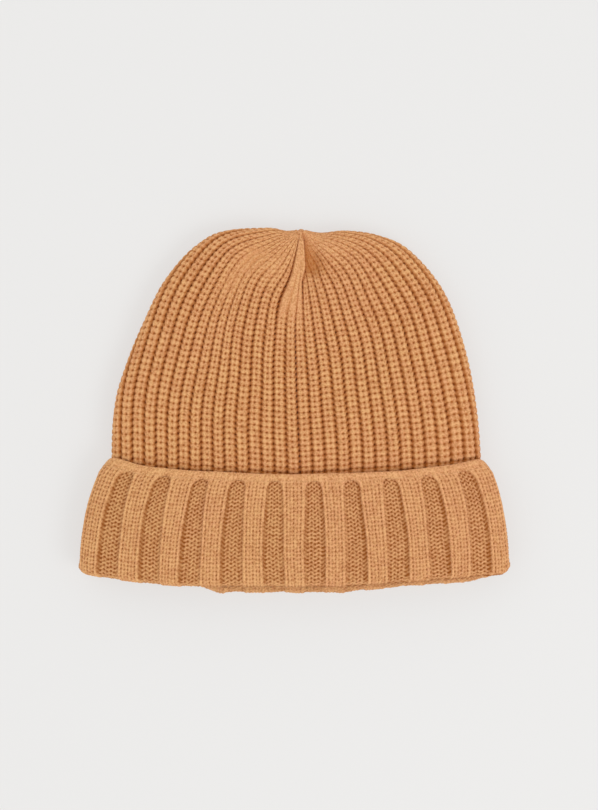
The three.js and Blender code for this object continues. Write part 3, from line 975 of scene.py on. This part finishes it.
# ---- Care label ----
def label_material(colours):
    """Plain satin: fine threads across a soft shine."""
    g = Graph("label satin")
    stretched = g.node("ShaderNodeMapping", None, {"Vector": g.place(), "Scale": (400, 6000, 400)}, "Vector")
    threads = g.node("ShaderNodeTexNoise", None, {"Vector": stretched, "Scale": 1.0, "Detail": 2.0}, "Fac")
    shade = g.mix(threads * 0.5, colour(colours.label), colour([0.88 * c for c in colours.label]))
    weave = g.bump(0.35, 0.0001, threads)
    return g.finish(Base_Color=shade, Roughness=0.42, Normal=weave, Sheen_Weight=0.2, Specular_IOR_Level=0.4)


def thread_material(colours):
    """Twisted polyester sewing thread."""
    g = Graph("label thread")
    twist = g.node("ShaderNodeTexWave", {"bands_direction": "DIAGONAL"},
                   {"Vector": g.place(), "Scale": 900.0, "Distortion": 0.5}, "Fac")
    shade = g.mix(twist * 0.4, colour(colours.label), colour([0.8 * c for c in colours.label]))
    ridges = g.bump(0.4, 0.0001, twist)
    return g.finish(Base_Color=shade, Roughness=0.5, Normal=ridges)


class SewLabel(bpy.types.Operator):
    """Fold the plain care label and sew it down beside the back seam"""

    bl_idname = "beanie.sew_label"
    bl_label = "Sew label"

    def execute(self, context):
        colours = context.scene.beanie_colours
        ply, thread_radius = 0.36, 0.2
        step = 4      # how much coarser the label's underside is
        sewn, fold = LABEL_HIGH[0], LABEL_LOW[0]
        low, high = LABEL_LOW[2] + ply / 2, LABEL_HIGH[2] - ply / 2
        radius = (high - low) / 2
        straight = sewn - fold - radius - ply / 2
        length = 2 * straight + math.pi * radius
        s = np.linspace(0, length, 121)
        turn = np.clip((s - straight) / (math.pi * radius), 0, 1) * math.pi
        returned = np.clip(s - straight - math.pi * radius, 0, None)
        x = sewn - np.minimum(s, straight) - radius * np.sin(turn) + returned
        z = (low + high) / 2 - radius * np.cos(turn)
        width = LABEL_HIGH[1] - LABEL_LOW[1]
        y = np.linspace(LABEL_LOW[1], LABEL_HIGH[1], 41)
        sheet = np.stack(np.broadcast_arrays(x[:, None], y[None, :], z[:, None]), axis=-1).copy()
        away = np.clip((sewn - sheet[..., 0]) / (sewn - fold), 0, 1)
        wave = np.sin((sheet[..., 1] - LABEL_LOW[1]) / width * 2.6 + 0.5)
        sheet[..., 2] += 0.9 * away ** 2 + 0.35 * away * wave
        normal = unit(np.cross(np.gradient(sheet, axis=0), np.gradient(sheet, axis=1)))
        under = (sheet - normal * ply / 2)[::step, ::step]
        shape = closed_shell(sheet + normal * ply / 2, under, step)
        label = add_mesh("care_label_strip", *shape)
        stand_for(label, "care_label", label_material(colours))
        length * MM
        run = (THREAD_LOW + THREAD_HIGH) / 2
        count = 6
        pitch = (THREAD_HIGH[1] - THREAD_LOW[1]) / count
        stitches = []
        for start in THREAD_LOW[1] + pitch * np.arange(count):
            end = start + 0.72 * pitch
            arc = [(run[0], y, run[2] + rise) for y, rise in (
                (start, -0.35), (start + 0.35, 0), ((start + end) / 2, 0.05), (end - 0.35, 0), (end, -0.35))]
            stitches.append(tube(smooth_path(arc, 0.12)[0], thread_radius))
        thread = add_mesh("label_stitch_thread", *joined(stitches))
        stand_for(thread, "label_stitch", thread_material(colours))
        return {"FINISHED"}


# ---- Stage ----
class SetStage(bpy.types.Operator):
    """Lay the pale floor and set the soft studio light and the camera"""

    bl_idname = "beanie.set_stage"
    bl_label = "Set stage"

    def execute(self, context):
        scene, colours = context.scene, context.scene.beanie_colours
        bpy.ops.mesh.primitive_plane_add(size=12, location=(0, 0, 0))
        floor = context.object
        floor.name = "studio_floor"
        g = Graph("pale floor")
        floor.data.materials.append(g.finish(
            Base_Color=colour(colours.floor), Roughness=0.9,
            Emission_Color=(1.0, 0.995, 0.985, 1.0), Emission_Strength=0.565))
        self.lamp("key", (0.8, -0.55, 1.2), 0.8, 5.6)
        self.lamp("fill", (-0.7, 0.6, 1.4), 1.4, 2.4)
        world = bpy.data.worlds.new("studio")
        world.use_nodes = True
        background = world.node_tree.nodes["Background"]
        background.inputs["Color"].default_value = (1, 1, 1, 1)
        background.inputs["Strength"].default_value = 0.83
        scene.world = world
        scene.view_settings.view_transform = "Standard"
        self.camera(scene)
        return {"FINISHED"}

    def lamp(self, name, place, size, power):
        data = bpy.data.lights.new(name, "AREA")
        data.shape = "DISK"
        data.size = size
        data.energy = power
        lamp = bpy.data.objects.new(name, data)
        lamp.location = place
        lamp.rotation_euler = Vector(place).to_track_quat("Z", "Y").to_euler()
        bpy.context.scene.collection.objects.link(lamp)

    def camera(self, scene):
        data = bpy.data.cameras.new("camera")
        data.lens = 85
        data.sensor_width = 36
        data.clip_start = 0.01
        camera = bpy.data.objects.new("camera", data)
        middle = (Vector(CAD_BOX[0]) + Vector(CAD_BOX[1])) / 2
        frame_height = 0.4516      # how much the camera takes in at the hat's middle, in metres
        aside, above = 0.0028, 0.0022
        distance = frame_height / data.sensor_width * data.lens
        camera.location = (middle.x + aside, middle.y + above, middle.z + distance)
        scene.collection.objects.link(camera)
        scene.camera = camera


class BeaniePanel(bpy.types.Panel):
    """The beanie's steps, in the 3D view's sidebar"""

    bl_idname = "VIEW3D_PT_beanie"
    bl_label = "Beanie"
    bl_space_type = "VIEW_3D"
    bl_region_type = "UI"
    bl_category = "Beanie"

    def draw(self, context):
        for group in (context.scene.beanie_sizes, context.scene.beanie_colours):
            for key in group.__annotations__:
                self.layout.prop(group, key)
        for step in STEPS:
            self.layout.operator(step.bl_idname)


STEPS = (KnitCrown, KnitCuff, LinkSeams, SewLabel, SetStage)
CLASSES = (BeanieSizes, BeanieColours, *STEPS, BeaniePanel)


def register():
    for cls in CLASSES:
        bpy.utils.register_class(cls)
    bpy.types.Scene.beanie_sizes = PointerProperty(type=BeanieSizes)
    bpy.types.Scene.beanie_colours = PointerProperty(type=BeanieColours)


def unregister():
    del bpy.types.Scene.beanie_colours
    del bpy.types.Scene.beanie_sizes
    for cls in reversed(CLASSES):
        bpy.utils.unregister_class(cls)


def main():
    register()
    for step in STEPS:
        family, action = step.bl_idname.split(".")
        getattr(getattr(bpy.ops, family), action)()


if __name__ == "__main__":
    main()
